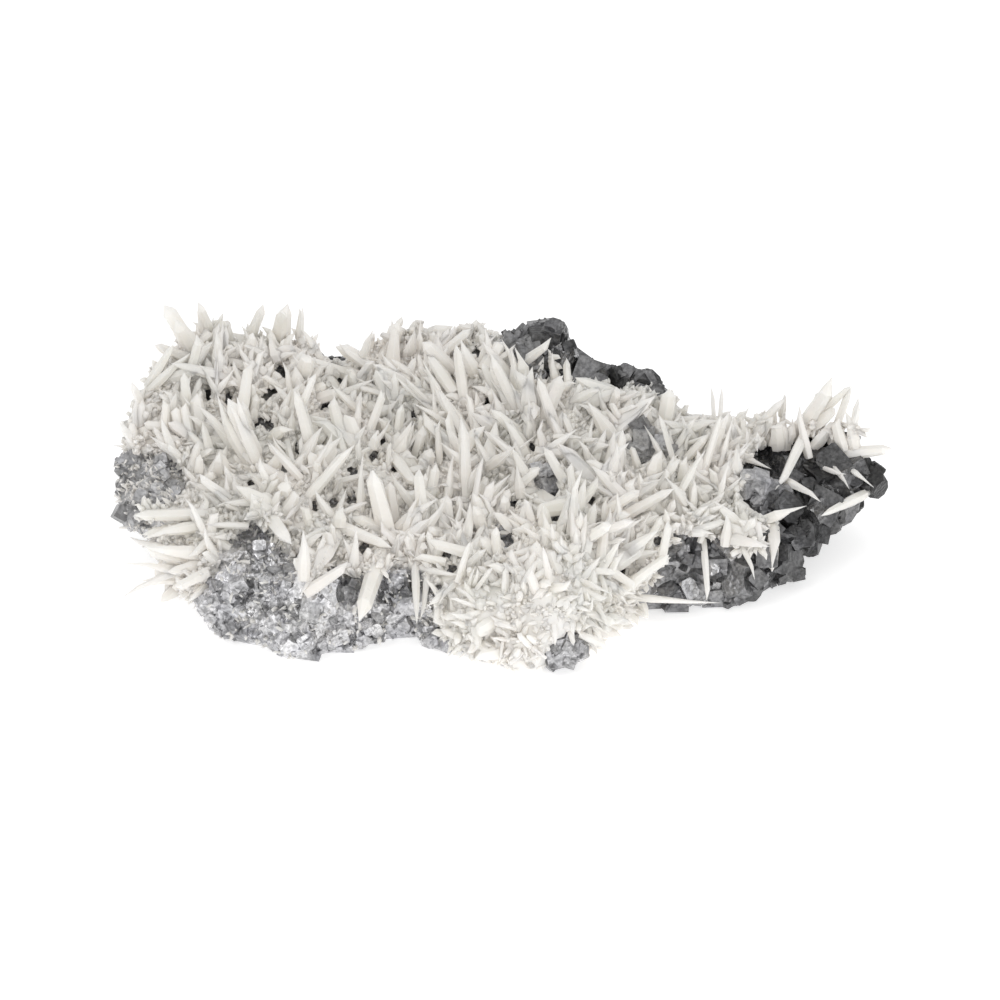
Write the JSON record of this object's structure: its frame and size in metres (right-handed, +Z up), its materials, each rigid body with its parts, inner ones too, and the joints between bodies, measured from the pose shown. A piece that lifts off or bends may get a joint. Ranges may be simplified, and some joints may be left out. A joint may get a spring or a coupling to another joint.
{
  "type": "galena specimen with quartz crystals",
  "caption": "Flat slab of lead-grey galena crowned with a bristling crust of milky white quartz needles, lying as a display specimen.",
  "frame": {"origin": "on the ground at the centre of the specimen's bounding box", "axes": "+X to the right along the specimen's length, +Y to its high back rim, +Z up from the flat face that it rests on"},
  "size_m": [0.1308, 0.0777, 0.0341],
  "materials": {
    "galena": "metallic lead-grey cleavage faces, from dull to bright",
    "milky_quartz": "milky white, glassy faces"
  },
  "bodies": {
    "root": {"galena_matrix": "galena", "quartz_crust": "milky_quartz", "quartz_spray_01": "milky_quartz", "quartz_spray_02": "milky_quartz"}
  },
  "joints": []
}
